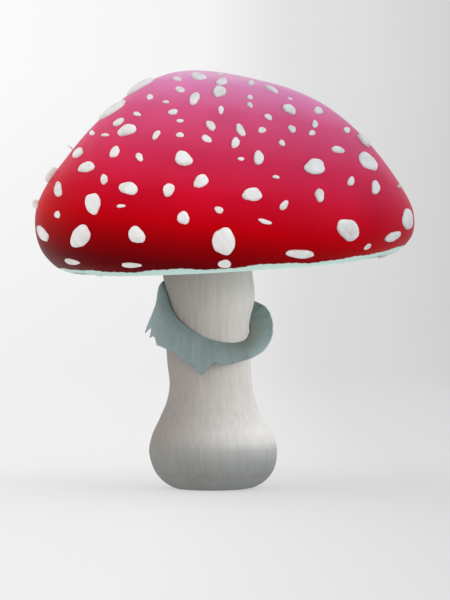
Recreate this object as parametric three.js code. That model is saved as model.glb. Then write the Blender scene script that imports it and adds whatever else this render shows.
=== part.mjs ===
// A fly agaric mushroom: red cap with white veil flakes, gills, bulbous stem and a torn ring.
// Millimetres, +Z up. The origin is the centre of the flat foot of the bulb, and -Y is the front.
import * as THREE from 'three';

// Driving dimensions ---------------------------------------------------------------------------

const gap = 0.35;                 // clearance that keeps neighbouring pieces apart
const eye = [3.9, -750, 56.4];    // where the front flakes are laid out from

// Cap outline from the crown to the lip: left edge x and z, right edge x and z.
const capEdges = [
  [-5.5, 125.3, -5.5, 125.3],
  [-13.0, 124.2, 4.0, 124.4],
  [-21.3, 120.6, 14.5, 122.2],
  [-29.6, 114.1, 25.0, 119.0],
  [-36.8, 107.1, 34.8, 114.0],
  [-43.5, 99.1, 43.2, 107.2],
  [-49.3, 91.3, 50.4, 99.3],
  [-52.5, 84.0, 56.5, 90.8],
  [-52.7, 77.0, 60.1, 83.4],
  [-50.9, 71.2, 60.2, 76.9],
  [-47.6, 67.2, 57.4, 72.6],
  [-44.4, 65.3, 54.8, 70.8],
  [-41.6, 64.6, 52.4, 70.0],
];
const capDepth = 0.98;            // front-to-back size of the cap, as a share of its width
const lipDroop = [3.0, 1.5];      // how far the lip hangs lower in front, and behind
const fleshHollow = 26;           // height of the flesh's underside above the lip, at the stem
const gillArch = 13;              // how much higher the gill edges stand at the stem
const gillCurl = 4;               // how much further the gill edges curl up beside the stem
const gillCount = 48;
const gillGroove = 2.2;           // depth of the folds between the gills
const gillTop = 0.13;             // place on the stem, from its top, where the gills stop short

// Stem outline from its top to its foot: z, left edge x, right edge x.
const stemEdges = [
  [90.4, -14.2, 11.2],
  [80.0, -14.8, 11.4],
  [71.0, -15.2, 11.2],
  [64.5, -14.9, 12.0],
  [57.0, -13.5, 12.7],
  [50.0, -13.5, 11.4],
  [43.0, -13.6, 11.6],
  [37.0, -13.3, 11.6],
  [31.0, -12.6, 12.0],
  [26.0, -13.4, 13.1],
  [21.0, -15.6, 15.2],
  [16.0, -18.0, 18.2],
  [11.0, -19.0, 19.3],
  [6.0, -17.6, 18.6],
  [2.6, -15.1, 16.3],
  [0.6, -12.2, 13.2],
  [0.0, -10.6, 10.6],
];

// Ring, every 30 degrees from the right by way of the back: height where it grows from the
// stem, how far it reaches out, how far out its middle is drawn, and how far that is lifted.
const ringRows = [
  [47.5, 6.9, 5.1, -1.8],
  [51.5, 6.2, 4.6, -2.0],
  [55.0, 4.6, 3.4, -0.8],
  [58.0, 3.6, 2.6, 1.0],
  [60.0, 3.4, 2.4, 1.8],
  [61.2, 5.0, 2.8, 1.6],
  [61.2, 6.2, 2.6, 1.2],
  [53.4, 5.6, 3.6, 1.6],
  [48.2, 4.8, 3.6, 1.6],
  [44.6, 4.4, 3.3, 1.6],
  [43.3, 4.6, 3.4, 1.4],
  [44.2, 6.2, 4.6, 0.0],
];
const ringThickness = 1.1;
const ringTaper = 0.35;           // how much thinner the ring is at its free edge
// Torn free edge of the ring, once round from the right by way of the back: degrees and height.
const tornEdge = [
  [0, 48.4], [15, 51.8], [30, 54.6], [45, 56.2], [60, 56.0], [80, 54.8], [93, 53.6], [100, 52.6],
  [108, 53.4], [122, 51.6], [132, 51.8], [140, 49.6], [148, 50.6], [160, 49.4], [174, 48.0],
  [182, 46.6], [188, 48.0], [193, 47.6], [198, 45.2], [203, 45.8], [209, 44.8], [212, 43.0],
  [219, 42.6], [228, 41.6], [236, 41.0], [243, 38.6], [248, 37.7], [253, 37.5], [256, 36.2],
  [259, 34.9], [262, 34.4], [265, 34.8], [269, 36.3], [273, 37.6], [276, 38.1], [283, 37.2],
  [292, 37.4], [302, 38.2], [315, 39.2], [330, 41.2], [345, 44.6], [360, 48.4],
];

// Veil flakes on the front: across and up in mm as seen from the eye, long and short side, and
// lean in degrees. Those seen edge on, at the sides of the cap, have a height of their own too.
const frontFlakes = [
  [-4.2, 123.4, 4.2, 3.2, 170],
  [3.0, 121.8, 3.2, 2.6, 20],
  [2.4, 118.8, 3.6, 3.2, 60],
  [-21.4, 120.5, 8.6, 5.0, 31, 1.5],
  [17.9, 119.4, 3.8, 2.0, 150],
  [-5.1, 116.7, 3.9, 2.3, 60],
  [23.3, 113.6, 3.6, 2.6, 145],
  [31.8, 113.1, 3.0, 2.6, 61],
  [-30.2, 113.0, 9.4, 4.8, 33, 1.3],
  [-28.0, 109.6, 3.6, 1.8, 30],
  [-0.3, 108.5, 3.3, 2.0, 131],
  [8.4, 107.1, 3.6, 2.1, 118],
  [-25.5, 107.1, 4.8, 3.3, 20],
  [45.3, 104.3, 4.2, 3.6, 134, 1.6],
  [7.2, 103.4, 3.0, 2.1, 85],
  [37.8, 101.4, 3.6, 1.8, 164],
  [-29.2, 100.6, 3.6, 2.1, 57],
  [-40.2, 100.3, 3.9, 3.3, 134],
  [13.8, 99.0, 3.5, 2.7, 101],
  [-8.6, 98.7, 4.4, 3.9, 161],
  [46.8, 97.8, 6.0, 5.6, 139],
  [30.6, 96.5, 5.7, 3.9, 0],
  [-37.8, 95.9, 4.5, 3.0, 15],
  [-48.2, 93.8, 4.4, 3.0, 56, 2.0],
  [-3.2, 92.1, 4.2, 3.0, 39],
  [49.0, 90.0, 3.6, 2.4, 90],
  [-25.2, 89.9, 4.8, 3.3, 174],
  [-46.2, 89.4, 4.5, 2.4, 93],
  [-12.9, 89.3, 3.6, 2.7, 73],
  [12.3, 88.0, 4.8, 3.6, 0],
  [32.1, 87.9, 3.3, 2.4, 97],
  [-35.7, 85.2, 5.7, 3.9, 100],
  [-8.7, 81.0, 3.3, 3.0, 163],
  [58.6, 80.6, 6.0, 5.0, 90],
  [40.8, 77.1, 6.3, 4.8, 132],
  [-50.8, 76.4, 5.1, 3.6, 126],
  [-22.8, 75.9, 4.5, 3.9, 141],
  [-39.3, 75.2, 6.0, 5.1, 57],
  [54.3, 75.4, 4.8, 2.4, 24],
  [3.9, 73.5, 6.9, 5.5, 94],
  [26.4, 70.2, 7.5, 1.8, 0],
  [-41.9, 68.0, 4.2, 1.8, 167],
];
// Veil flakes on the back, scattered by the golden ratio: how many, the share of the way from
// crown to lip and of the way round that they cover, and their middle size and its swing.
const backFlakeCount = 14;
const backPlaces = [0.22, 0.92];
const backTurns = [0.07, 0.43];
const goldenShare = 0.618;
const backSize = [4.2, 1.6];
const backRoundness = [0.72, 0.12];
const flakeProud = [0.4, 0.1];    // how proud a flake stands: always, and per mm of its short side
const mostStretch = 1.6;          // limit on how much longer a steeply seen flake really is
const mostAcross = 0.99;          // how near the side of the cap a flake may lie, as a share

// Colours ----------------------------------------------------------------------------------------

const looks = {
  cap: new THREE.MeshStandardMaterial({ color: 0xb4101e, roughness: 0.35, metalness: 0 }),
  gills: new THREE.MeshStandardMaterial({ color: 0xe6ece4, roughness: 0.75, metalness: 0 }),
  stem: new THREE.MeshStandardMaterial({ color: 0xc4bfb8, roughness: 0.8, metalness: 0 }),
  ring: new THREE.MeshStandardMaterial({ color: 0x7c8c89, roughness: 0.75, metalness: 0 }),
  flake: new THREE.MeshStandardMaterial({ color: 0xe6e4e1, roughness: 0.85, metalness: 0 }),
};

// Curves and grids -------------------------------------------------------------------------------

const turn = Math.PI * 2;
const mix = (a, b, f) => a + (b - a) * f;

// Smooth curve through four neighbouring values, from the second to the third as f goes 0 to 1.
function smooth(a, b, c, d, f) {
  const pull = (c - a) / 2;
  const push = (d - b) / 2;
  return b + pull * f + (3 * (c - b) - 2 * pull - push) * f * f
    + (2 * (b - c) + pull + push) * f * f * f;
}

// Smooth curve through a list of rows: place 0 is the first row and place 1 is the last.
function throughRows(rows, place) {
  const at = Math.min(Math.max(place, 0), 1) * (rows.length - 1);
  const row = Math.min(Math.floor(at), rows.length - 2);
  const a = rows[Math.max(row - 1, 0)];
  const d = rows[Math.min(row + 2, rows.length - 1)];
  return rows[row].map((b, i) => smooth(a[i], b, rows[row + 1][i], d[i], at - row));
}

// Smooth closed curve through rows that stand at equal steps round the circle.
function roundRows(rows, angle) {
  const at = ((angle / turn) % 1 + 1) % 1 * rows.length;
  const row = Math.floor(at);
  const pick = (step) => rows[(row + step + rows.length) % rows.length];
  return pick(0).map((b, i) => smooth(pick(-1)[i], b, pick(1)[i], pick(2)[i], at - row));
}

// The place, from 0 to 1, at which a function that falls steadily comes down to a value.
function placeWhere(value, falling) {
  let low = 0;
  let high = 1;
  for (let step = 0; step < 40; step += 1) {
    const middle = (low + high) / 2;
    if (falling(middle) > value) low = middle;
    else high = middle;
  }
  return (low + high) / 2;
}

// A closed body from rings of points. Rings close on themselves; a ring of one point is a pole.
// With looped, the last ring joins the first, as on a tube bent into a circle.
function bodyFromRings(rings, looped = false) {
  const positions = rings.flat(2);
  const starts = [];
  rings.reduce((total, ring) => (starts.push(total), total + ring.length), 0);
  const faces = [];
  const last = looped ? rings.length : rings.length - 1;
  for (let r = 0; r < last; r += 1) {
    const next = (r + 1) % rings.length;
    const around = Math.max(rings[r].length, rings[next].length);
    for (let k = 0; k < around; k += 1) {
      const corner = (ring, step) => starts[ring] + ((k + step) % rings[ring].length);
      const [a, b, c, d] = [corner(r, 0), corner(r, 1), corner(next, 0), corner(next, 1)];
      if (a !== b) faces.push(a, c, b);
      if (c !== d) faces.push(b, c, d);
    }
  }
  const geometry = new THREE.BufferGeometry();
  geometry.setAttribute('position', new THREE.Float32BufferAttribute(positions, 3));
  geometry.setIndex(faces);
  geometry.computeVertexNormals();
  return geometry;
}

// One ring of points: a function of the angle, taken at equal steps.
const ringOf = (count, point) => Array.from({ length: count }, (_, k) => point(turn * k / count));

function piece(name, geometry, material) {
  const mesh = new THREE.Mesh(geometry, material);
  mesh.name = name;
  return mesh;
}

// Cap --------------------------------------------------------------------------------------------

// A point on the cap's skin. Place runs from the crown to the lip and the angle from the right.
// Each ring is an oval hung between the left and the right edge of the outline.
function capPoint(place, angle) {
  const [leftX, leftZ, rightX, rightZ] = throughRows(capEdges, place);
  const along = Math.cos(angle);
  const depth = (rightX - leftX) / 2 * capDepth;
  const hang = mix(lipDroop[0], lipDroop[1], 0.5 + 0.5 * Math.sin(angle));
  const droop = hang * place ** 6 * (1 - along ** 4);
  return [
    (leftX + rightX) / 2 + (rightX - leftX) / 2 * along,
    depth * Math.sin(angle),
    (leftZ + rightZ) / 2 + (rightZ - leftZ) / 2 * along - droop,
  ];
}

// A point under the cap: share 0 is beside the stem and share 1 at the lip, lifted by rise.
function underPoint(share, angle, rise) {
  const lip = capPoint(1, angle);
  const [, stemLeft, stemRight] = throughRows(stemEdges, gillTop);
  const radius = (stemRight - stemLeft) / 2 + 2 * gap;
  const x = (stemLeft + stemRight) / 2 + radius * Math.cos(angle);
  const y = radius * Math.sin(angle);
  const [leftX, leftZ, rightX, rightZ] = capEdges.at(-1);
  const z = mix(leftZ, rightZ, (x - leftX) / (rightX - leftX));
  return [mix(x, lip[0], share), mix(y, lip[1], share), mix(z, lip[2], share) + rise];
}

// Height of the flesh's underside above the lip: a hollow, deepest at the stem.
const fleshRise = (share) => fleshHollow * (1 - share ** 3);
// Height of the gill edges above the lip: an arch that curls up close to the stem.
const gillRise = (share) => (
  gillArch * (1 - share ** 2) + gillCurl * (1 - share) ** 8 - gap * share ** 4);

function capBody() {
  const around = 48;
  const steps = 15;
  const skinPlaces = Array.from({ length: steps }, (_, k) => Math.sin((k + 1) / steps * Math.PI / 2));
  const skin = skinPlaces.map((place) => ringOf(around, (angle) => capPoint(place, angle)));
  const shares = [0.97, 0.92, 0.82, 0.68, 0.5, 0.3, 0];
  const under = shares.map((share) => ringOf(around, (a) => underPoint(share, a, fleshRise(share))));
  const roofSides = [underPoint(0, 0, fleshHollow), underPoint(0, Math.PI, fleshHollow)];
  const roof = [0, 1, 2].map((i) => (roofSides[0][i] + roofSides[1][i]) / 2);
  return bodyFromRings([[capPoint(0, 0)], ...skin, ...under, [roof]]);
}

function gillBody() {
  const shares = [0.03, 0.1, 0.22, 0.42, 0.64, 0.82, 0.93, 0.965];
  const groove = (angle) => gillGroove * (0.5 - 0.5 * Math.cos(angle * gillCount));
  const lower = shares.map((share) => ringOf(gillCount * 2, (angle) => {
    const room = fleshRise(share) - gillRise(share) - gap;
    return underPoint(share, angle, gillRise(share) + Math.min(groove(angle), room * 0.5));
  }));
  const upper = shares.map((share) => ringOf(gillCount * 2, (angle) => (
    underPoint(share, angle, fleshRise(share) - gap))));
  return bodyFromRings([...upper, ...lower.reverse()], true);
}

// Stem -------------------------------------------------------------------------------------------

// A level section of the stem: height, middle x and radius.
function stemSection(place) {
  const [z, left, right] = throughRows(stemEdges, place);
  return [z, (left + right) / 2, (right - left) / 2];
}

// A point a given distance outside the stem's skin, at a height and an angle.
function besideStem(height, angle, offset) {
  const place = placeWhere(height, (at) => stemSection(at)[0]);
  const [z, middle, radius] = stemSection(place);
  return [middle + (radius + offset) * Math.cos(angle), (radius + offset) * Math.sin(angle), z];
}

function stemBody() {
  const around = 36;
  const rings = stemEdges.length * 2 - 1;
  const places = Array.from({ length: rings }, (_, k) => k / (rings - 1));
  const skin = places.map((place) => {
    const [z, middle, radius] = stemSection(place);
    return ringOf(around, (a) => [middle + radius * Math.cos(a), radius * Math.sin(a), z]);
  });
  const pole = (place) => [stemSection(place)[1], 0, stemSection(place)[0]];
  return bodyFromRings([[pole(0)], ...skin, [pole(1)]]);
}

// Ring -------------------------------------------------------------------------------------------

// Height of the torn free edge at an angle, straight from one listed point to the next.
function tornHeight(angle) {
  const degrees = THREE.MathUtils.radToDeg(angle);
  const after = Math.max(tornEdge.findIndex(([at]) => at > degrees), 1);
  const [[from, low], [to, high]] = [tornEdge[after - 1], tornEdge[after]];
  return mix(low, high, (degrees - from) / (to - from));
}

// The ring's middle surface beside the stem: share 0 grows from the stem, share 1 is the edge.
// A bent line from root to edge, pulled towards a middle point: offset and height.
function ringLine(share, angle) {
  const [root, reach, belly, lift] = roundRows(ringRows, angle);
  const near = gap + ringThickness / 2;
  const edge = tornHeight(angle);
  const bend = [(1 - share) ** 2, 2 * share * (1 - share), share ** 2];
  const offset = bend[0] * near + bend[1] * belly + bend[2] * reach;
  return [offset, bend[0] * root + bend[1] * ((root + edge) / 2 + lift) + bend[2] * edge];
}

function ringBody() {
  const around = 72;
  const shares = [0, 0.2, 0.4, 0.6, 0.8, 1];
  const side = (share, sign) => ringOf(around, (angle) => {
    const [offset, height] = ringLine(share, angle);
    const [nextOffset, nextHeight] = ringLine(share + 0.01, angle);
    const length = Math.hypot(nextOffset - offset, nextHeight - height);
    const half = sign * ringThickness / 2 * (1 - ringTaper * share) / length;
    const out = offset - (nextHeight - height) * half;
    return besideStem(height + (nextOffset - offset) * half, angle, Math.max(out, gap));
  });
  const upper = shares.map((share) => side(share, 1));
  const under = shares.slice().reverse().map((share) => side(share, -1));
  return bodyFromRings([...upper, ...under], true);
}

// Veil flakes ------------------------------------------------------------------------------------

// Place and angle on the front of the cap that an eye sees at a spot across and up.
function frontSpot([across, up]) {
  let y = -capEdges.at(-1)[2];
  let place = 0.5;
  let along = 0;
  for (let step = 0; step < 8; step += 1) {
    const nearer = (y - eye[1]) / -eye[1];
    const x = eye[0] + (across - eye[0]) * nearer;
    const z = eye[2] + (up - eye[2]) * nearer;
    const alongAt = (at) => {
      const [left, , right] = throughRows(capEdges, at);
      const share = (x - (left + right) / 2) / ((right - left) / 2 + 1e-6);
      return Math.min(Math.max(share, -mostAcross), mostAcross);
    };
    place = placeWhere(z, (at) => capPoint(at, -Math.acos(alongAt(at)))[2]);
    along = alongAt(place);
    y = capPoint(place, -Math.acos(along))[1];
  }
  return [place, -Math.acos(along)];
}

// The skin near a spot: the point, its outward normal, and its slopes along place and angle.
function skinAt(place, angle) {
  const step = 0.002;
  const point = new THREE.Vector3(...capPoint(place, angle));
  const down = new THREE.Vector3(...capPoint(place + step, angle))
    .sub(new THREE.Vector3(...capPoint(place - step, angle))).divideScalar(2 * step);
  const round = new THREE.Vector3(...capPoint(place, angle + step))
    .sub(new THREE.Vector3(...capPoint(place, angle - step))).divideScalar(2 * step);
  const normal = down.clone().cross(round).normalize();
  return { point, normal, down, round };
}

// The long and short half axes of a flake, laid on the skin so that the eye sees them as listed.
function seenAxes(skin, long, short, lean) {
  const tilt = THREE.MathUtils.degToRad(lean);
  return [[Math.cos(tilt), Math.sin(tilt), long / 2], [-Math.sin(tilt), Math.cos(tilt), short / 2]]
    .map(([x, z, half]) => {
      const axis = new THREE.Vector3(x, 0, z);
      const { normal } = skin;
      axis.y = -(normal.x * x + normal.z * z) / Math.min(normal.y, -1e-3);
      return axis.setLength(Math.min(axis.length(), mostStretch) * half);
    });
}

// A flake: a low crowned scrap with an uneven outline, lying just clear of the skin.
function flakeBody(place, angle, axes, proud, seed) {
  const centre = skinAt(place, angle);
  const [pp, pr, rr] = [
    centre.down.dot(centre.down), centre.down.dot(centre.round), centre.round.dot(centre.round)];
  const spot = (shape, around, height) => {
    const uneven = 1 + 0.05 * Math.cos(2 * around + seed) + 0.05 * Math.cos(3 * around + 2.3 * seed)
      + 0.02 * Math.cos(5 * around + 4.1 * seed);
    const move = axes[0].clone().multiplyScalar(Math.cos(around) * shape * uneven)
      .addScaledVector(axes[1], Math.sin(around) * shape * uneven);
    const [along, across] = [move.dot(centre.down), move.dot(centre.round)];
    const det = pp * rr - pr * pr;
    const to = skinAt(
      place + (along * rr - across * pr) / det,
      angle + (across * pp - along * pr) / det,
    );
    return to.point.addScaledVector(to.normal, height).toArray();
  };
  const around = 9;
  const layers = [[0.5, proud], [0.85, proud * 0.8], [1, gap + 0.3], [0.9, gap]];
  const rings = layers.map(([shape, height]) => ringOf(around, (a) => spot(shape, a, height)));
  return bodyFromRings([[spot(0, 0, proud)], ...rings, [spot(0, 0, gap)]]);
}

const proudOf = (short) => gap + flakeProud[0] + flakeProud[1] * short;

function flakes() {
  const front = frontFlakes.map(([across, up, long, short, lean, proud = proudOf(short)], k) => {
    const [place, angle] = frontSpot([across, up]);
    const axes = seenAxes(skinAt(place, angle), long, short, lean);
    return flakeBody(place, angle, axes, proud, k + 1);
  });
  // The back ones follow the golden ratio, so they never line up.
  const back = Array.from({ length: backFlakeCount }, (_, k) => {
    const place = mix(...backPlaces, (k + 0.5) / backFlakeCount);
    const angle = turn * mix(...backTurns, (k * goldenShare) % 1);
    const long = backSize[0] + backSize[1] * Math.sin(k * 1.9);
    const short = long * (backRoundness[0] + backRoundness[1] * Math.cos(k * 2.7));
    const { down, round } = skinAt(place, angle);
    const axis = (lean, half) => down.clone().setLength(Math.cos(lean) * half)
      .addScaledVector(round.clone().normalize(), Math.sin(lean) * half);
    const axes = [axis(k * 1.3, long / 2), axis(k * 1.3 + Math.PI / 2, short / 2)];
    return flakeBody(place, angle, axes, proudOf(short), k + 60);
  });
  return [...front, ...back].map((body, k) => (
    piece(`wart_${String(k + 1).padStart(2, '0')}`, body, looks.flake)));
}

const mushroom = new THREE.Group();
mushroom.add(piece('cap', capBody(), looks.cap));
mushroom.add(piece('gills', gillBody(), looks.gills));
mushroom.add(piece('stem', stemBody(), looks.stem));
mushroom.add(piece('ring', ringBody(), looks.ring));
mushroom.add(...flakes());

export default mushroom;
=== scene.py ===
"""A fly agaric mushroom, picked whole and stood on its bulb.

A red cap with white veil flakes, pale gills, a fibrous stem with a swollen bulb, and a torn
grey ring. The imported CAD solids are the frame, and every surface here is worked out around
them. Shapes are worked out in mm and built in metres: +Z is up and -Y is the front.
"""

import bpy
import numpy as np
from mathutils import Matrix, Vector


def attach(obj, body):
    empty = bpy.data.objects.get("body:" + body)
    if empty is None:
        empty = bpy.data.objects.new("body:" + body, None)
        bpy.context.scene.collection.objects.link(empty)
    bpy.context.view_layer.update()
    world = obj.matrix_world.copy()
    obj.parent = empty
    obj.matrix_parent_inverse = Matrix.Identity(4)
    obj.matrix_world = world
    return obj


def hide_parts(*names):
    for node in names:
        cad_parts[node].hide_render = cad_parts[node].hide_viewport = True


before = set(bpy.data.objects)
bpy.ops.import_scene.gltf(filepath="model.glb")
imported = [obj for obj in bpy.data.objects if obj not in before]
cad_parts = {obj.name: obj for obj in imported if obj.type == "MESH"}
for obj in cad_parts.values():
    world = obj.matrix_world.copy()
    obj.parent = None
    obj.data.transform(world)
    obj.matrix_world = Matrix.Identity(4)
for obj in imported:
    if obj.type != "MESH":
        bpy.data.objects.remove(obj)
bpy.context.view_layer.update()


# ---------------------------------------------------------------- camera and studio
# The camera stands level in front of the mushroom, a little below half its height. A round
# dish of pale board is floor and backdrop in one, glowing by itself as painted light, with
# painted shade that makes it greyer on the right, and large soft lights stand above it and beyond
# it to the right.

camera_distance = 0.75
camera_place = (0.0039, -camera_distance, 0.0564)
seen_height = 0.18
sensor_height = 36
board_glow = 0.62
cap_middle, stem_middle = (0.004, 0, 0.085), (0, 0, 0.03)

camera = bpy.data.objects.new("camera", bpy.data.cameras.new("camera"))
camera.location = camera_place
camera.rotation_euler = (np.pi / 2, 0, 0)
camera.data.lens = sensor_height * camera_distance / seen_height
camera.data.clip_start = 0.01
bpy.context.collection.objects.link(camera)
bpy.context.scene.camera = camera
bpy.context.scene.view_settings.view_transform = "Standard"


def put(tree, kind, sockets=None, **settings):
    """Add a node, set its settings, and fill its inputs with values or links."""
    made = tree.nodes.new(kind)
    for name, value in settings.items():
        setattr(made, name, value)
    for name, value in (sockets or {}).items():
        if isinstance(value, bpy.types.NodeSocket):
            tree.links.new(value, made.inputs[name])
        else:
            made.inputs[name].default_value = value
    return made


def new_material(name, **surface):
    """A material with one Principled surface, set by plain names, and the tree to add to."""
    made = bpy.data.materials.new(name)
    made.use_nodes = True
    tree = made.node_tree
    shader = next(node for node in tree.nodes if node.type == "BSDF_PRINCIPLED")
    for socket, value in surface.items():
        shader.inputs[socket.replace("_", " ")].default_value = value
    return made, tree, shader


def screen(red, green, blue):
    """A screen colour, 0 to 255, as the linear colour that a shader takes."""
    part = np.array([red, green, blue]) / 255
    linear = np.where(part <= 0.04045, part / 12.92, ((part + 0.055) / 1.055) ** 2.4)
    return (*(float(value) for value in linear), 1.0)


def ramp(tree, factor, stops):
    """A colour ramp from a list of (place, colour) stops."""
    made = put(tree, "ShaderNodeValToRGB", {"Fac": factor})
    elements = made.color_ramp.elements
    while len(elements) < len(stops):
        elements.new(0.5)
    for element, (place, colour) in zip(elements, stops):
        element.position = place
        element.color = colour
    return made.outputs["Color"]


def mixed(tree, factor, first, second, blend="MIX"):
    """Two colours mixed by a factor."""
    made = put(tree, "ShaderNodeMix", {"Factor": factor}, data_type="RGBA", blend_type=blend)
    for socket, value in zip((made.inputs[6], made.inputs[7]), (first, second)):
        if isinstance(value, bpy.types.NodeSocket):
            tree.links.new(value, socket)
        else:
            socket.default_value = value
    return made.outputs[2]


def object_axis(tree, axis, low, high, lean=0):
    """How far along one object axis a point lies, as 0 at low and 1 at high, in metres.

    With lean, in radians, the point is first turned about Y, so that heights rise with X.
    """
    place = put(tree, "ShaderNodeTexCoord").outputs["Object"]
    turned = put(tree, "ShaderNodeMapping", {"Vector": place, "Rotation": (0, -lean, 0)})
    value = put(tree, "ShaderNodeSeparateXYZ", {"Vector": turned.outputs["Vector"]}).outputs[axis]
    return put(tree, "ShaderNodeMapRange", {
        "Value": value, "From Min": low, "From Max": high}).outputs["Result"]


def board_material():
    """Pale board with painted light: it glows by itself, and painted shade makes it greyer towards
    the right and a little darker low down.
    """
    made, tree, shader = new_material(
        "pale_board", Roughness=0.9, Specular_IOR_Level=0.1, Emission_Strength=board_glow)
    # Painted shade: the board is greyer towards the right and a little darker low down.
    across = ramp(tree, object_axis(tree, "X", -0.2, 0.21), [
        (0.0, screen(246, 246, 246)), (0.45, screen(240, 240, 240)), (0.64, screen(222, 222, 222)),
        (0.8, screen(217, 217, 217)), (1.0, screen(205, 205, 205))])
    up = ramp(tree, object_axis(tree, "Z", 0.0, 0.25), [
        (0.0, screen(246, 246, 246)), (1.0, screen(255, 255, 255))])
    colour = mixed(tree, 1.0, across, up, "MULTIPLY")
    # Painted light: the board glows by itself, which lifts the shadows on it.
    tree.links.new(colour, shader.inputs["Emission Color"])
    unlit = mixed(tree, 1.0 - board_glow, screen(0, 0, 0), colour)
    tree.links.new(unlit, shader.inputs["Base Color"])
    return made


dish_around = 128
floor_radius, bend_radius, wall_top = 0.9, 0.6, 2.4


def board_dish(name, radius, height, material):
    """Rings of board round the mushroom, one for each radius and height, joined in order."""
    turn = np.arange(dish_around) * 2 * np.pi / dish_around
    x, y = np.outer(radius, np.cos(turn)), np.outer(radius, np.sin(turn))
    corners = np.stack([x, y, np.broadcast_to(height[:, None], x.shape)], axis=-1).reshape(-1, 3)
    ring = np.arange(len(radius) - 1)[:, None] * dish_around
    step = np.arange(dish_around)[None, :]
    beside = (step + 1) % dish_around
    faces = np.stack([ring + step, ring + dish_around + step,
                      ring + dish_around + beside, ring + beside], axis=-1).reshape(-1, 4)
    mesh = bpy.data.meshes.new(name)
    mesh.from_pydata(corners, [], faces.tolist())
    mesh.polygons.foreach_set("use_smooth", np.ones(len(mesh.polygons), bool))
    mesh.materials.append(material)
    made = bpy.data.objects.new(name, mesh)
    bpy.context.collection.objects.link(made)
    return made


pale_board = board_material()
bend = np.linspace(0, np.pi / 2, 24)
board_dish("board_floor", np.array([0.001, 0.3, floor_radius]), np.zeros(3), pale_board)
wall = board_dish(
    "board_wall", np.append(floor_radius + bend_radius * np.sin(bend), floor_radius + bend_radius),
    np.append(bend_radius * (1 - np.cos(bend)), wall_top), pale_board)
# Only the camera sees the wall: light passes it, from the sky and from the light beyond it.
wall.visible_diffuse = wall.visible_glossy = wall.visible_shadow = False


def soft_light(name, place, aim, size, watts):
    """A square soft light at a place, turned to face its aim."""
    data = bpy.data.lights.new(name, "AREA")
    data.size = size
    data.energy = watts
    made = bpy.data.objects.new(name, data)
    made.location = place
    made.rotation_euler = (Vector(aim) - Vector(place)).to_track_quat("-Z", "Y").to_euler()
    made.visible_camera = False
    bpy.context.collection.objects.link(made)


soft_light("top_light", (0.10, -0.30, 0.95), cap_middle, 0.9, 1.2)
soft_light("side_light", (1.90, -1.07, 0.25), stem_middle, 1.2, 17)

sky = bpy.data.worlds.new("studio")
sky.use_nodes = True
sky.node_tree.nodes["Background"].inputs["Color"].default_value = (1, 1, 1, 1)
sky.node_tree.nodes["Background"].inputs["Strength"].default_value = 1.0
bpy.context.scene.world = sky


# ---------------------------------------------------------------- cap
# The cap is soft flesh under a thin red skin that peels. The skin is smooth and slightly moist,
# pale pink at the crown with a painted sheen and darker low down with painted shade, and it
# stops just short of a pale lip rolled a little in.

mm = 0.001
full_turn = 2 * np.pi

# From the crown to the lip: left edge x and z, right edge x and z.
cap_edges = np.array([
    [-5.5, 125.3, -5.5, 125.3],
    [-13.0, 124.2, 4.0, 124.4],
    [-21.3, 120.6, 14.5, 122.2],
    [-29.6, 114.1, 25.0, 119.0],
    [-36.8, 107.1, 34.8, 114.0],
    [-43.5, 99.1, 43.2, 107.2],
    [-49.3, 91.3, 50.4, 99.3],
    [-52.5, 84.0, 56.5, 90.8],
    [-52.7, 77.0, 60.1, 83.4],
    [-50.9, 71.2, 60.2, 76.9],
    [-47.6, 67.2, 57.4, 72.6],
    [-44.4, 65.3, 54.8, 70.8],
    [-41.6, 64.6, 52.4, 70.0],
])
cap_depth = 0.98
lip_droop = [3.0, 1.5]
flesh_hollow = 26
hole_middle, hole_radius = -2.0, 14.0


def through_rows(rows, place):
    """A smooth curve through a list of rows, where place 0 is the first and 1 the last row.

    Between two rows it is the cubic whose slope at each row is half the step from the row
    before it to the row after it.
    """
    at = np.clip(place, 0, 1) * (len(rows) - 1)
    row = np.minimum(at.astype(int), len(rows) - 2)
    share = (at - row)[..., None]
    before, first = rows[np.maximum(row - 1, 0)], rows[row]
    second, after = rows[row + 1], rows[np.minimum(row + 2, len(rows) - 1)]
    leaving, arriving = (second - before) / 2, (after - first) / 2
    return (first + leaving * share
            + (3 * (second - first) - 2 * leaving - arriving) * share ** 2
            + (2 * (first - second) + leaving + arriving) * share ** 3)


def cap_skin(place, angle):
    """Points on the cap's skin: place runs from crown to lip, angle round from the right.

    Each ring is an oval hung between the left and the right edge, nearly as deep as it is
    wide. Towards the lip it hangs lower in front, and half as much lower behind.
    """
    left_x, left_z, right_x, right_z = np.moveaxis(through_rows(cap_edges, place), -1, 0)
    half = (right_x - left_x) / 2
    hang = lip_droop[0] + (lip_droop[1] - lip_droop[0]) * (0.5 + 0.5 * np.sin(angle))
    droop = hang * place ** 6 * (1 - np.cos(angle) ** 4)
    return np.stack([
        (left_x + right_x) / 2 + half * np.cos(angle),
        half * cap_depth * np.sin(angle),
        (left_z + right_z) / 2 + (right_z - left_z) / 2 * np.cos(angle) - droop,
    ], axis=-1)


def skin_frame(place, angle):
    """The skin's point, outward normal, and its slopes along place and along angle."""
    step = 0.002
    down = (cap_skin(place + step, angle) - cap_skin(place - step, angle)) / (2 * step)
    round_ = (cap_skin(place, angle + step) - cap_skin(place, angle - step)) / (2 * step)
    normal = np.cross(down, round_)
    normal /= np.linalg.norm(normal, axis=-1, keepdims=True)
    return cap_skin(place, angle), normal, down, round_


def under_cap(share, angle, rise):
    """Points under the cap: share 0 is beside the stem and 1 at the lip, lifted by rise.

    A straight line from a circle round the stem, laid on the plane of the lip, to the lip.
    """
    lip = cap_skin(np.ones_like(angle), angle)
    left_x, left_z, right_x, right_z = cap_edges[-1]
    slope = (right_z - left_z) / (right_x - left_x)
    x = hole_middle + hole_radius * np.cos(angle)
    near_stem = np.stack(
        [x, hole_radius * np.sin(angle), left_z + slope * (x - left_x)], axis=-1)
    points = near_stem + (lip - near_stem) * share[..., None]
    points[..., 2] += rise
    return points


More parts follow.
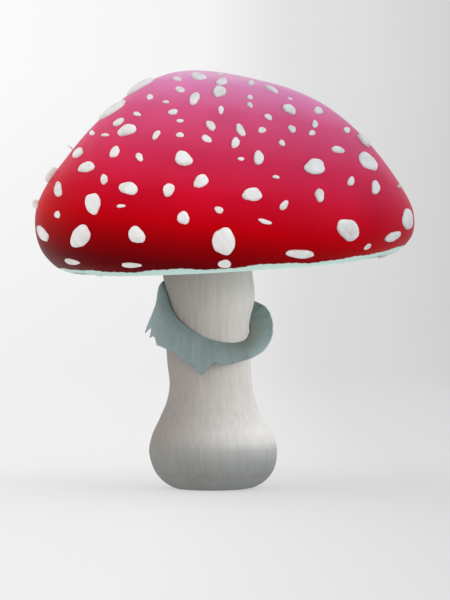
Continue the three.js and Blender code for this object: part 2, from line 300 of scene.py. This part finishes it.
def flesh_rise(share):
    """Height of the flesh's underside above the lip: a hollow that is deepest at the stem."""
    return flesh_hollow * (1 - share ** 3)


def smooth_step(value, low, high):
    """0 below low, 1 above high, and a soft S between."""
    share = np.clip((value - low) / (high - low), 0, 1)
    return share * share * (3 - 2 * share)


def red_edge(angle):
    """Place on the skin where the red stops: a slow swing round the cap with small waves."""
    swing = 0.11 * np.maximum(np.cos(angle), 0) ** 5 + 0.05 * np.maximum(-np.cos(angle), 0) ** 4
    return 0.945 - swing + 0.012 * np.cos(11 * angle - 0.9) + 0.004 * np.cos(29 * angle)


def closed_bodies(name, bodies, material, looped=False):
    """One smooth piece from closed bodies, each a grid of rings of points in mm.

    The first and last ring are drawn together to a point, or with looped the last ring joins
    the first, as on a bent tube. Corners run so that faces look outwards when the rings go
    down and their points go round from +X to +Y.
    """
    count, rings, around = bodies.shape[:3]
    ring = np.arange(rings if looped else rings - 1)[:, None]
    step = np.arange(around)[None, :]
    after, beside = (ring + 1) % rings, (step + 1) % around
    quads = np.stack([ring * around + step, after * around + step,
                      after * around + beside, ring * around + beside], axis=-1).reshape(-1, 4)
    corners = bodies.reshape(count, -1, 3)
    fans = np.zeros((0, 3), int)
    if not looped:
        corners = np.concatenate([corners, bodies[:, [0, -1]].mean(axis=2)], axis=1)
        top, end = rings * around, rings * around + 1
        step, last = step[0], (rings - 1) * around
        beside = (step + 1) % around
        fans = np.concatenate([
            np.stack([np.full(around, top), step, beside], axis=-1),
            np.stack([np.full(around, end), last + beside, last + step], axis=-1)])
    starts = (np.arange(count) * corners.shape[1])[:, None, None]
    faces = (quads + starts).reshape(-1, 4).tolist() + (fans + starts).reshape(-1, 3).tolist()
    mesh = bpy.data.meshes.new(name)
    mesh.from_pydata(corners.reshape(-1, 3) * mm, [], faces)
    mesh.polygons.foreach_set("use_smooth", np.ones(len(mesh.polygons), bool))
    mesh.materials.append(material)
    made = bpy.data.objects.new(name, mesh)
    bpy.context.collection.objects.link(made)
    return made


def paint(piece, name, values):
    """Store one number for each point of a piece, for its material to read by name."""
    layer = piece.data.attributes.new(name, "FLOAT", "POINT")
    layer.data.foreach_set("value", np.resize(values.ravel(), len(piece.data.vertices)))


def noise(tree, scale, detail=4, stretch=(1, 1, 1)):
    """Noise on object coordinates, in cycles per metre, stretched along an axis if asked."""
    place = put(tree, "ShaderNodeTexCoord").outputs["Object"]
    moved = put(tree, "ShaderNodeMapping", {"Vector": place, "Scale": stretch}).outputs["Vector"]
    return put(tree, "ShaderNodeTexNoise", {
        "Vector": moved, "Scale": scale, "Detail": detail}).outputs["Fac"]


def upper_right_painted_shade(tree, colour):
    """A colour made duller towards the upper right: painted shade that holds back the stronger
    light there.
    """
    dull = ramp(tree, object_axis(tree, "Z", 0.03, 0.1, lean=np.pi / 4), [
        (0.0, (1, 1, 1, 1)), (0.36, (0.95, 0.95, 0.96, 1)), (0.5, (0.88, 0.88, 0.9, 1)),
        (0.62, (0.82, 0.82, 0.85, 1)), (0.86, (0.68, 0.7, 0.73, 1)), (1.0, (0.65, 0.68, 0.72, 1))])
    return mixed(tree, 1.0, colour, dull, "MULTIPLY")


def skin_material():
    """Red skin, pink at the crown with a painted sheen, darkest low down and on the left with
    painted shade, ending at the pale lip.
    """
    made, tree, shader = new_material("red_skin", Specular_IOR_Level=0.015)
    # Painted light: pale pink at the crown is a painted sheen, and the deep dark red low down,
    # tilted darker to the left, is painted shade.
    red = ramp(tree, object_axis(tree, "Z", 0.064, 0.126, lean=0.12), [
        (0.0, screen(98, 0, 6)),
        (0.1, screen(150, 0, 8)),
        (0.2, screen(194, 0, 14)),
        (0.33, screen(203, 14, 44)),
        (0.52, screen(211, 48, 86)),
        (0.74, screen(222, 88, 134)),
        (0.88, screen(234, 140, 188)),
        (1.0, screen(250, 208, 236)),
    ])
    blotches = ramp(tree, noise(tree, 55), [(0.35, (0.9, 0.88, 0.88, 1)), (0.65, (1, 1, 1, 1))])
    # Painted shade: the skin grows duller towards its upper right.
    mottled = mixed(tree, 1.0, upper_right_painted_shade(tree, red), blotches, "MULTIPLY")
    pale = put(tree, "ShaderNodeAttribute", attribute_name="pale").outputs["Fac"]
    colour = mixed(tree, pale, mottled, screen(202, 229, 222))
    tree.links.new(colour, shader.inputs["Base Color"])
    rough = put(tree, "ShaderNodeMapRange", {
        "Value": noise(tree, 140), "To Min": 0.3, "To Max": 0.45}).outputs["Result"]
    tree.links.new(rough, shader.inputs["Roughness"])
    bump = put(tree, "ShaderNodeBump", {
        "Height": noise(tree, 700, 6), "Strength": 0.25, "Distance": 0.0003})
    tree.links.new(bump.outputs["Normal"], shader.inputs["Normal"])
    return made


cap_around, cap_rings, flesh_rings = 288, 150, 30
place = np.sin(np.linspace(0, 1, cap_rings + 1)[1:] * np.pi / 2)[:, None]
angle = (np.arange(cap_around) * full_turn / cap_around)[None, :]
place, angle = np.broadcast_arrays(place, angle)
point, outward, _, _ = skin_frame(place, angle)
uneven = (0.16 * np.sin(point[..., 0] / 7 + 1) * np.sin(point[..., 1] / 9)
          + 0.10 * np.sin(point[..., 2] / 5 + point[..., 1] / 6))
furrows = 0.10 * smooth_step(place, 0.72, 0.95) * np.cos(110 * angle)
skin = point + outward * ((uneven * smooth_step(place, 0, 0.2) + furrows)[..., None])
share = np.linspace(1, 0, flesh_rings + 1)[1:, None]
share, under_angle = np.broadcast_arrays(share, angle[:1])
flesh = under_cap(share, under_angle, flesh_rise(share))
cap = closed_bodies("cap_flesh_and_skin", np.concatenate([skin, flesh])[None], skin_material())
pale_skin = smooth_step(place - red_edge(angle), -0.004, 0.006)
paint(cap, "pale", np.concatenate([pale_skin.ravel(), np.ones(flesh[..., 0].size), [0, 1]]))
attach(cap, "root")
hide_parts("cap")


# ---------------------------------------------------------------- gills
# A hundred long thin blades hang from the flesh, white with a cold green tinge. Shorter
# blades stand between them towards the lip, and all of them stop short of the stem.

gill_arch, stem_curl = 13, 4
long_gills = 100
points_per_gill = 14
gill_depth, deepest_share = 3.2, 0.7


def gill_rise(share):
    """Height of the gill edges above the lip: an arch that curls up close to the stem."""
    return gill_arch * (1 - share ** 2) + stem_curl * (1 - share) ** 8 - 0.3 * share ** 4


def gill_fold(share, angle):
    """How deep the fold beside a blade is, from 0 at a blade's edge to 1 in the fold.

    A narrow power of a cosine, with twice as many blades past a place near the lip that
    changes from blade to blade.
    """
    turn = angle * long_gills
    start = 0.45 + 0.14 * np.sin(np.floor(turn / full_turn) * 2.4)
    long_fold = (0.5 - 0.5 * np.cos(turn)) ** 2
    all_folds = (0.5 - 0.5 * np.cos(2 * turn)) ** 2
    many = smooth_step(share, start - 0.05, start + 0.05)
    return long_fold + (all_folds - long_fold) * many


def gill_material():
    """Pale cold white blades, with painted shade down in the folds that makes them a little greener
    and darker there.
    """
    made, tree, shader = new_material("gill_flesh", Roughness=0.7, Specular_IOR_Level=0.2)
    fold = put(tree, "ShaderNodeAttribute", attribute_name="fold").outputs["Fac"]
    # Painted shade: the deeper the fold, the darker and greener the colour.
    blades = ramp(tree, fold, [(0.0, screen(204, 229, 222)), (1.0, screen(156, 186, 179))])
    flecks = ramp(tree, noise(tree, 400), [(0.3, (0.9, 0.9, 0.88, 1)), (0.7, (1, 1, 1, 1))])
    tree.links.new(mixed(tree, 1.0, blades, flecks, "MULTIPLY"), shader.inputs["Base Color"])
    bump = put(tree, "ShaderNodeBump", {
        "Height": noise(tree, 1500), "Strength": 0.3, "Distance": 0.0002})
    tree.links.new(bump.outputs["Normal"], shader.inputs["Normal"])
    return made


gill_around = long_gills * points_per_gill
share = np.concatenate([[0.02], np.linspace(0.05, 0.95, 22), [0.975]])[:, None]
angle = (np.arange(gill_around) * full_turn / gill_around)[None, :]
share, angle = np.broadcast_arrays(share, angle)
room = flesh_rise(share) - gill_rise(share)
fold = gill_fold(share, angle)
blade = np.floor(angle * long_gills / full_turn)
wander = (0.15 * np.sin(7 * angle + 5 * share) + 0.12 * np.sin(blade * 1.7)) * share
cut = np.minimum(gill_depth * fold, deepest_share * room)
edges = under_cap(share, angle, gill_rise(share) + cut + wander)
tops = under_cap(share[::8], angle[::8], flesh_rise(share[::8]) + 0.2)
blades = np.concatenate([tops, edges[::-1]])
gills = closed_bodies("gill_blades", blades[None], gill_material(), looped=True)
paint(gills, "fold", np.concatenate([np.ones(tops[..., 0].size), fold[::-1].ravel()]))
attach(gills, "root")
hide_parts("gills")


# ---------------------------------------------------------------- stem
# One grown piece with its bulb, of long fibres that show as fine upright streaks. It is darker
# and browner on its left with painted shade, has a painted highlight on the right at the top of
# the bulb, and is grey below, partly soil stain and partly painted shade. The foot is flat.

# From the top to the foot: height, left edge x and right edge x.
stem_edges = np.array([
    [90.4, -14.2, 11.2],
    [80.0, -14.8, 11.4],
    [71.0, -15.2, 11.2],
    [64.5, -14.9, 12.0],
    [57.0, -13.5, 12.7],
    [50.0, -13.5, 11.4],
    [43.0, -13.6, 11.6],
    [37.0, -13.3, 11.6],
    [31.0, -12.6, 12.0],
    [26.0, -13.4, 13.1],
    [21.0, -15.6, 15.2],
    [16.0, -18.0, 18.2],
    [11.0, -19.0, 19.3],
    [6.0, -17.6, 18.6],
    [2.6, -15.1, 16.3],
    [0.6, -12.2, 13.2],
    [0.0, -10.6, 10.6],
])


def stem_section(place):
    """A level round section of the stem: its height, middle x and radius."""
    height, left, right = np.moveaxis(through_rows(stem_edges, place), -1, 0)
    return height, (left + right) / 2, (right - left) / 2


def stem_material():
    """Pale fibrous flesh with painted light: painted shade darkens its left side with a brown tint,
    a painted highlight lies on the right at the top of the bulb, and it is grey low down, partly
    soil stain and partly painted shade.
    """
    made, tree, shader = new_material("stem_fibre", Roughness=0.75, Specular_IOR_Level=0.2)
    height = object_axis(tree, "Z", 0, 0.07)
    # Painted shade: the left side is darker, with a brownish tint.
    shaded_brown_left = ramp(tree, height, [
        (0.0, screen(144, 147, 146)),
        (0.12, screen(148, 150, 146)),
        (0.26, screen(160, 151, 147)),
        (0.45, screen(150, 141, 137)),
        (0.6, screen(158, 148, 143)),
        (1.0, screen(154, 143, 137)),
    ])
    # Painted light: the right side is lighter, with a painted highlight at the top of the bulb and
    # grey below, partly soil stain and partly painted shade.
    painted_light_right = ramp(tree, height, [
        (0.0, screen(142, 145, 144)),
        (0.065, screen(136, 138, 137)),
        (0.12, screen(148, 151, 150)),
        (0.17, screen(176, 178, 178)),
        (0.205, screen(216, 215, 214)),
        (0.25, screen(238, 236, 235)),
        (0.45, screen(222, 219, 216)),
        (0.6, screen(226, 223, 219)),
        (1.0, screen(232, 228, 225)),
    ])
    across = object_axis(tree, "X", -0.016, 0.014)
    # Painted light: from left to right the colour goes from the shaded side to the lit side.
    height_colour = mixed(tree, across, shaded_brown_left, painted_light_right)
    fibres = ramp(tree, noise(tree, 900, 5, (1, 1, 0.06)), [
        (0.3, (0.9, 0.89, 0.88, 1)), (0.7, (1, 1, 1, 1))])
    stains = ramp(tree, noise(tree, 60), [(0.35, (0.94, 0.93, 0.91, 1)), (0.6, (1, 1, 1, 1))])
    streaked = mixed(tree, 1.0, height_colour, fibres, "MULTIPLY")
    tree.links.new(mixed(tree, 1.0, streaked, stains, "MULTIPLY"), shader.inputs["Base Color"])
    bump = put(tree, "ShaderNodeBump", {
        "Height": noise(tree, 1100, 6, (1, 1, 0.08)), "Strength": 0.3, "Distance": 0.0003})
    tree.links.new(bump.outputs["Normal"], shader.inputs["Normal"])
    return made


stem_around, stem_rings = 240, 200
place = np.linspace(0, 1, stem_rings)[:, None]
angle = (np.arange(stem_around) * full_turn / stem_around)[None, :]
place, angle = np.broadcast_arrays(place, angle)
height, middle, radius = stem_section(place)
sway = np.sin(height / 9) * 1.3
fibres = 0.05 * (np.sin(23 * angle + sway) + 0.7 * np.sin(41 * angle - 2 * sway)
                 + 0.5 * np.sin(67 * angle + sway))
bulges = 0.18 * np.sin(3 * angle + height / 6) * np.sin(height / 11)
fade = smooth_step(height, 0.3, 6)
radius = radius + (fibres + bulges) * fade
stem_skin = np.stack([middle + radius * np.cos(angle), radius * np.sin(angle), height], axis=-1)
stem = closed_bodies("stem_and_bulb", stem_skin[None], stem_material())
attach(stem, "root")
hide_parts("stem")


# ---------------------------------------------------------------- ring
# The inner veil tore from the cap's lip and hangs round the stem as a thin, damp, blue-grey
# skirt. It grows from the stem high on the left and low on the right, where it stands out as
# a smooth collar, and its free edge is torn on the left and in front.

# Every 30 degrees from the right by way of the back: height where it grows from the stem, how
# far it reaches out, how far out its middle is drawn, and how far that is lifted.
ring_rows = np.array([
    [47.5, 6.9, 5.1, -1.8],
    [51.5, 6.2, 4.6, -2.0],
    [55.0, 4.6, 3.4, -0.8],
    [58.0, 3.6, 2.6, 1.0],
    [60.0, 3.4, 2.4, 1.8],
    [61.2, 5.0, 2.8, 1.6],
    [61.2, 6.2, 2.6, 1.2],
    [53.4, 5.6, 3.6, 1.6],
    [48.2, 4.8, 3.6, 1.6],
    [44.6, 4.4, 3.3, 1.6],
    [43.3, 4.6, 3.4, 1.4],
    [44.2, 6.2, 4.6, 0.0],
])
ring_thickness, ring_taper = 1.0, 0.6
# The torn free edge, once round from the right by way of the back: degrees and height.
torn_edge = np.array([
    [0, 48.4], [15, 51.8], [30, 54.6], [45, 56.2], [60, 56.0], [80, 54.8], [93, 53.6],
    [100, 52.6], [108, 53.4], [122, 51.6], [132, 51.8], [140, 49.6], [148, 50.6], [160, 49.4],
    [174, 48.0], [182, 46.6], [188, 48.0], [193, 47.6], [198, 45.2], [203, 45.8], [209, 44.8],
    [212, 43.0], [219, 42.6], [228, 41.6], [236, 41.0], [243, 38.6], [248, 37.7], [253, 37.5],
    [256, 36.2], [259, 34.9], [262, 34.4], [265, 34.8], [269, 36.3], [273, 37.6], [276, 38.1],
    [283, 37.2], [292, 37.4], [302, 38.2], [315, 39.2], [330, 41.2], [345, 44.6], [360, 48.4],
])
# How much further out the torn edge is bent there: a hooked tip and a notch on the left.
bent_edge = np.array([[172, 0], [183, 0.1], [191, -1.5], [198, -0.2], [206, -0.6], [214, 0]])
shoulder_height, root_sunk = 12.0, 0.4
stem_levels = 400


def ring_line(share, angle):
    """The ring's middle surface: offset from the stem and height, from its root to its edge.

    A bent line pulled towards a middle point, with a low shoulder near its root on the left.
    Its rows follow a smooth closed curve round the stem, and its free edge runs straight from
    one torn point to the next.
    """
    circle = np.concatenate([ring_rows[-1:], ring_rows, ring_rows[:2]])
    at = 1 + (angle / full_turn % 1) * len(ring_rows)
    root, reach, belly, lift = np.moveaxis(through_rows(circle, at / (len(circle) - 1)), -1, 0)
    degrees = np.degrees(angle) % 360
    edge = np.interp(degrees, *torn_edge.T)
    first, second, third = (1 - share) ** 2, 2 * share * (1 - share), share ** 2
    shoulder = shoulder_height * np.maximum(-np.cos(angle), 0) * share * (1 - share) ** 4
    bent = share ** 4 * np.interp(degrees, *bent_edge.T)
    offset = second * belly + third * reach + shoulder + bent
    return offset, first * root + second * ((root + edge) / 2 + lift) + third * edge


def ring_side(share, angle, sign):
    """One face of the ring: its middle surface moved half a thickness along its own normal.

    The root reaches a little into the stem, whose middle and radius are read at each height.
    """
    offset, height = ring_line(share, angle)
    next_offset, next_height = ring_line(share + 0.01, angle)
    out, down = next_offset - offset, next_height - height
    pleats = (0.07 * np.sin(23 * angle + 2 * share) + 0.05 * np.sin(41 * angle - 3 * share)
              + 0.03 * np.sin(67 * angle + 1)) * smooth_step(share, 0.1, 0.6)
    half = (sign * ring_thickness / 2 * (1 - ring_taper * share) + pleats) / np.hypot(out, down)
    height = height + out * half
    offset = np.maximum(offset - down * half, -root_sunk)
    levels, middles, radii = (
        part[::-1] for part in stem_section(np.linspace(0, 1, stem_levels)))
    middle, radius = (np.interp(height, levels, part) for part in (middles, radii))
    radius = radius + offset
    return np.stack([
        middle + radius * np.cos(angle), radius * np.sin(angle), height], axis=-1)


def ring_material():
    """Thin damp membrane, blue-grey and finely streaked, with painted light: paler towards its far
    left and right, and painted brown shade near the stem on the right.
    """
    made, tree, shader = new_material("veil_membrane", Roughness=0.6, Specular_IOR_Level=0.2)
    # Painted light: the membrane is paler on the far left and right, where it turns away from the
    # lights.
    across = ramp(tree, object_axis(tree, "X", -0.02, 0.023), [
        (0.0, screen(166, 182, 181)), (0.25, screen(140, 155, 155)), (0.7, screen(132, 145, 144)),
        (0.85, screen(176, 194, 194)), (1.0, screen(204, 224, 224))])
    out = put(tree, "ShaderNodeAttribute", attribute_name="outwards").outputs["Fac"]
    # Painted shade: brown near the stem, used only on the right, where the collar is in shadow.
    near_stem = ramp(tree, out, [(0.0, (0.8, 0.64, 0.52, 1)), (0.6, (1, 1, 1, 1))])
    on_the_right = object_axis(tree, "X", 0.002, 0.016)
    colour = mixed(tree, on_the_right, across, mixed(tree, 1.0, across, near_stem, "MULTIPLY"))
    streaks = ramp(tree, noise(tree, 700, 5, (1, 1, 0.2)), [
        (0.3, (0.9, 0.91, 0.91, 1)), (0.7, (1, 1, 1, 1))])
    tree.links.new(mixed(tree, 1.0, colour, streaks, "MULTIPLY"), shader.inputs["Base Color"])
    bump = put(tree, "ShaderNodeBump", {
        "Height": noise(tree, 900, 5, (1, 1, 0.3)), "Strength": 0.3, "Distance": 0.0003})
    tree.links.new(bump.outputs["Normal"], shader.inputs["Normal"])
    return made


ring_around, ring_steps = 720, 26
share = np.linspace(0, 1, ring_steps)[:, None]
angle = (np.arange(ring_around) * full_turn / ring_around)[None, :]
share, angle = np.broadcast_arrays(share, angle)
ring_faces = np.concatenate([ring_side(share, angle, 1), ring_side(share, angle, -1)[::-1]])
ring = closed_bodies("ring_skirt", ring_faces[None], ring_material(), looped=True)
paint(ring, "outwards", np.concatenate([share, share[::-1]]))
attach(ring, "root")
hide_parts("ring")


# ---------------------------------------------------------------- large veil flakes
# Scraps of the outer veil stick to the skin as raised, uneven, off-white flakes, dry and
# slightly crumbly. Each large one lies where its CAD solid lies, with that solid's size.

flake_spread = 1.08
flake_flatness = 0.75
net_rows, net_columns = 260, 720
# For a solid flake, the mean square of its points along an axis over the square of that half axis.
point_spread = 0.326


def flake_bodies(place, angle, axes, proud, seed, around, layers):
    """Flakes on the skin, as rings from the top of each to its hidden underside.

    A flake's outline is an ellipse made uneven by four waves of its own. A layer is a share
    of that outline and a share of the flake's height, and every point is moved over the skin
    to its place and then lifted along the skin's normal.
    """
    spin = (np.arange(around) * full_turn / around)[None, None, :]
    seed = seed[:, None, None]
    waves = (1 + 0.05 * np.cos(2 * spin + seed) + 0.06 * np.cos(3 * spin + 2.3 * seed)
             + 0.025 * np.cos(5 * spin + 4.1 * seed) + 0.01 * np.cos(9 * spin + 5.2 * seed))
    size, lift = (layers[None, :, None, k] for k in (0, 1))
    first, second = (axes[:, None, None, k] for k in (0, 1))
    move = (first * (np.cos(spin) * size * waves)[..., None]
            + second * (np.sin(spin) * size * waves)[..., None])
    _, _, down, round_ = (part[:, None, None] for part in skin_frame(place, angle))
    dd, dr, rr = ((a * b).sum(-1) for a, b in ((down, down), (down, round_), (round_, round_)))
    along, across = (move * down).sum(-1), (move * round_).sum(-1)
    det = dd * rr - dr * dr
    point, normal, _, _ = skin_frame(
        place[:, None, None] + (along * rr - across * dr) / det,
        angle[:, None, None] + (across * dd - along * dr) / det)
    lumps = 1 + 0.07 * np.sin(move[..., 0] * 2.6 + seed) * np.sin(move[..., 2] * 2.1 + 2 * seed)
    height = np.where(lift > 0, lift * flake_flatness * proud[:, None, None] * lumps, lift)
    return point + normal * height[..., None]


def flake_layers(rings, power=6):
    """Layers of a low flat-topped dome, and an underside sunk a little into the skin.

    The height is one less a high power of the size, so the flake is flat with a round rim.
    """
    size = flake_spread * np.sin(np.linspace(0.04, 1, rings) * np.pi / 2)
    top = np.stack([size, (1 - (size / flake_spread) ** power) ** 0.6 + 0.02], axis=-1)
    return np.concatenate([top, [[0.97 * flake_spread, -0.3], [0.5, -0.5]]])


def flake_material():
    """Dry felted scraps, off-white with faint grey and straw mottling, a crumbly face, and painted
    shade that dulls them towards the upper right.
    """
    made, tree, shader = new_material("veil_flake", Roughness=0.85, Specular_IOR_Level=0.2)
    colour = ramp(tree, noise(tree, 260), [
        (0.25, screen(209, 205, 197)), (0.5, screen(230, 228, 226)), (0.75, screen(240, 240, 239))])
    # Painted shade: the flakes grow duller towards the upper right, as the skin does.
    tree.links.new(upper_right_painted_shade(tree, colour), shader.inputs["Base Color"])
    bump = put(tree, "ShaderNodeBump", {
        "Height": noise(tree, 1300, 6), "Strength": 0.35, "Distance": 0.0003})
    tree.links.new(bump.outputs["Normal"], shader.inputs["Normal"])
    return made


def solid_flakes(nodes):
    """Place, angle, half axes and height of each CAD flake, worked out from its points.

    The nearest point of a fine net over the skin gives the spot. The spread of the solid's
    points over the skin there gives two axes, and the furthest point from the skin its height.
    """
    net_place, net_angle = np.meshgrid(
        np.linspace(0.01, 1, net_rows), np.linspace(0, full_turn, net_columns), indexing="ij")
    net_point, net_normal, _, _ = skin_frame(net_place, net_angle)
    found = []
    for node in nodes:
        points = np.array([vertex.co for vertex in node.data.vertices]) / mm
        spot = np.unravel_index(
            np.argmin(np.linalg.norm(net_point - points.mean(axis=0), axis=-1)), net_place.shape)
        normal = net_normal[spot]
        from_spot = points - points.mean(axis=0)
        flat = from_spot - np.outer(from_spot @ normal, normal)
        spread, ways = np.linalg.eigh(flat.T @ flat / len(flat))
        axes = (ways * np.sqrt(np.maximum(spread, 0) / point_spread)).T[[2, 1]]
        proud = ((points - net_point[spot]) @ normal).max()
        found.append((net_place[spot], net_angle[spot], axes, proud))
    return [np.array(part) for part in zip(*found)]


flake_flesh = flake_material()
flake_nodes = sorted(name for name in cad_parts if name.startswith("wart_"))
flake_sizes = solid_flakes([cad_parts[name] for name in flake_nodes])
flake_seeds = np.arange(len(flake_nodes)) * 1.7
flake_around, flake_rings = 44, 12
large_flakes = flake_bodies(*flake_sizes, flake_seeds, flake_around, flake_layers(flake_rings))
for name, body in zip(flake_nodes, large_flakes):
    flake = closed_bodies(name.replace("wart", "veil_flake"), body[None], flake_flesh)
    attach(flake, "root")
    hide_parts(name)


# ---------------------------------------------------------------- small veil flakes
# Crumbs of the same veil lie between the large flakes. Those in front have listed places;
# those on the back are scattered evenly but out of line, between the large ones.

# Across and up as seen from straight in front, long and short side, lean in degrees, and a
# height of its own for a flake seen edge on, or 0 for one that follows its short side.
small_front = np.array([
    [2.4, 124.2, 2.0, 1.0, 0, 0],
    [-10.5, 122.7, 2.7, 1.8, 162, 0],
    [11.8, 121.5, 3.0, 1.8, 90, 0],
    [-9.6, 119.5, 2.9, 1.7, 161, 0],
    [-18.6, 117.2, 2.1, 1.8, 148, 0],
    [11.4, 117.2, 1.5, 1.5, 0, 0],
    [23.4, 116.7, 1.5, 0.9, 160, 0],
    [-13.8, 115.8, 1.8, 0.9, 0, 0],
    [11.4, 114.9, 1.8, 1.2, 126, 0],
    [2.7, 113.4, 2.4, 1.5, 94, 0],
    [-11.7, 112.8, 2.7, 1.5, 7, 0],
    [-22.5, 112.2, 2.1, 1.2, 164, 0],
    [16.9, 111.3, 2.4, 1.4, 145, 0],
    [-9.6, 110.1, 1.8, 1.0, 0, 0],
    [30.9, 109.2, 2.4, 1.5, 93, 0],
    [24.0, 107.7, 2.3, 1.8, 130, 0],
    [40.5, 107.4, 3.3, 1.8, 33, 0],
    [15.0, 107.3, 2.1, 1.8, 0, 0],
    [-36.0, 106.5, 2.4, 2.4, 0, 0],
    [30.0, 106.5, 1.8, 1.5, 0, 0],
    [-32.1, 105.9, 2.4, 0.9, 0, 0],
    [-16.7, 105.9, 3.0, 1.5, 52, 0],
    [-9.6, 105.9, 2.1, 1.4, 0, 0],
    [-1.6, 104.7, 3.1, 1.8, 143, 0],
    [21.0, 103.5, 1.8, 1.5, 136, 0],
    [-42.4, 101.6, 2.0, 1.9, 0, 2.6],
    [-21.8, 99.3, 2.4, 1.8, 120, 0],
    [8.7, 98.7, 1.8, 0.9, 0, 0],
    [19.2, 93.3, 1.8, 0.9, 169, 0],
    [-32.4, 92.6, 2.9, 1.8, 95, 0],
    [41.7, 92.0, 2.6, 1.8, 64, 0],
    [56.0, 90.4, 2.4, 1.2, 0, 1.3],
    [-52.4, 85.0, 3.6, 2.1, 90, 2.1],
    [21.6, 84.8, 3.0, 1.8, 57, 0],
    [-27.3, 84.6, 2.4, 0.9, 0, 0],
    [2.1, 83.4, 2.3, 1.8, 164, 0],
    [-46.4, 82.0, 2.0, 1.8, 90, 0],
    [15.9, 79.9, 3.5, 1.2, 164, 0],
    [46.5, 72.4, 2.6, 1.5, 33, 0],
    [3.8, 67.2, 3.3, 2.1, 0, 0],
    [-24.3, 66.8, 5.7, 1.2, 178, 0],
])
# On the back: how many are tried, and their middle length.
back_sizes = {"veil_scraps_back": (60, 4.4), "veil_crumbs_back": (110, 2.3)}
uneven_steps = [0.7549, 0.5698]
# Where on the skin they may lie: first place and span towards the lip, first turn and span.
first_place, place_span, first_turn, turn_span = 0.1, 0.86, 0.02, 0.46
length_swing, least_gap = 0.33, 0.5
small_proud = [0.3, 0.12]
most_stretch = 1.6
small_around, small_rings = 20, 6
first_depth, depth_rounds, halvings = -40.0, 8, 30


def front_spots(across, up):
    """Place and angle on the skin that shows at a spot, seen from the camera.

    The spot is moved along its line of sight to the skin's depth. There the place is found
    by halving, because the skin only falls from crown to lip, and depth is found again.
    """
    eye_x, eye_y, eye_z = (part / mm for part in camera_place)
    y = np.full(len(across), first_depth)
    for _ in range(depth_rounds):
        nearer = (y - eye_y) / -eye_y
        x, z = eye_x + (across - eye_x) * nearer, eye_z + (up - eye_z) * nearer
        low, high = np.zeros(len(x)), np.ones(len(x))
        for _ in range(halvings):
            place = (low + high) / 2
            edges = through_rows(cap_edges, place)
            middle, half = (edges[:, 0] + edges[:, 2]) / 2, (edges[:, 2] - edges[:, 0]) / 2
            angle = -np.arccos(np.clip((x - middle) / (half + 1e-6), -0.99, 0.99))
            above = cap_skin(place, angle)[:, 2] > z
            low, high = np.where(above, place, low), np.where(above, high, place)
        y = cap_skin(place, angle)[:, 1]
    return place, angle


def seen_axes(place, angle, sides, lean):
    """Two half axes on the skin, laid so that they show with the listed sizes and lean."""
    _, normal, _, _ = skin_frame(place, angle)
    tilt = np.radians(lean)[:, None] + np.array([0, np.pi / 2])
    axes = np.stack([np.cos(tilt), np.zeros_like(tilt), np.sin(tilt)], axis=-1)
    slope = (axes * normal[:, None]).sum(-1) / np.minimum(normal[:, None, 1], -1e-3)
    axes[..., 1] = -slope
    length = np.linalg.norm(axes, axis=-1, keepdims=True)
    return axes / length * np.minimum(length, most_stretch) * sides[..., None] / 2


def scatter_back(count, length, taken):
    """Flakes over the back half, clear of those whose middle and reach are already taken.

    Each flake that is kept is added to taken, so the next sort keeps clear of it too.

    Place and angle go by two steps that never fall into line. Lengths swing by a third about
    the middle length and grow from crown to lip.
    """
    k = np.arange(count)
    place = first_place + place_span * ((k * uneven_steps[0] + 0.2) % 1)
    angle = full_turn * (first_turn + turn_span * ((k * uneven_steps[1]) % 1))
    point, _, down, round_ = skin_frame(place, angle)
    down, round_ = (way / np.linalg.norm(way, axis=-1, keepdims=True) for way in (down, round_))
    lean = (k * 1.3)[:, None]
    long = (length / 2 * (0.6 + 0.6 * place) * (1 + length_swing * np.sin(k * 1.9)))[:, None]
    short = long * (0.72 + 0.15 * np.cos(k * 2.7))[:, None]
    axes = np.stack([long * (down * np.cos(lean) + round_ * np.sin(lean)),
                     short * (round_ * np.cos(lean) - down * np.sin(lean))], axis=1)
    kept = []
    for flake in k:
        apart = np.linalg.norm(np.array([middle for middle, _ in taken]) - point[flake], axis=-1)
        if (apart > np.array([reach for _, reach in taken]) + long[flake] + least_gap).all():
            taken.append((point[flake], long[flake, 0]))
            kept.append(flake)
    proud = small_proud[0] + small_proud[1] * 2 * short[kept, 0]
    return place[kept], angle[kept], axes[kept], proud


place, angle = front_spots(*small_front[:, :2].T)
axes = seen_axes(place, angle, small_front[:, 2:4], small_front[:, 4])
own_height = small_front[:, 5]
proud = np.where(own_height > 0, own_height, small_proud[0] + small_proud[1] * small_front[:, 3])
small_flakes = {"veil_crumbs_front": (place, angle, axes, proud)}
taken = list(zip(skin_frame(*flake_sizes[:2])[0], np.linalg.norm(flake_sizes[2][:, 0], axis=-1)))
for name, (count, length) in back_sizes.items():
    small_flakes[name] = scatter_back(count, length, taken)
for name, sizes in small_flakes.items():
    crumb_seeds = np.arange(len(sizes[0])) * 2.9
    bodies = flake_bodies(*sizes, crumb_seeds, small_around, flake_layers(small_rings))
    crumbs = closed_bodies(name, bodies, flake_flesh)
    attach(crumbs, "root")
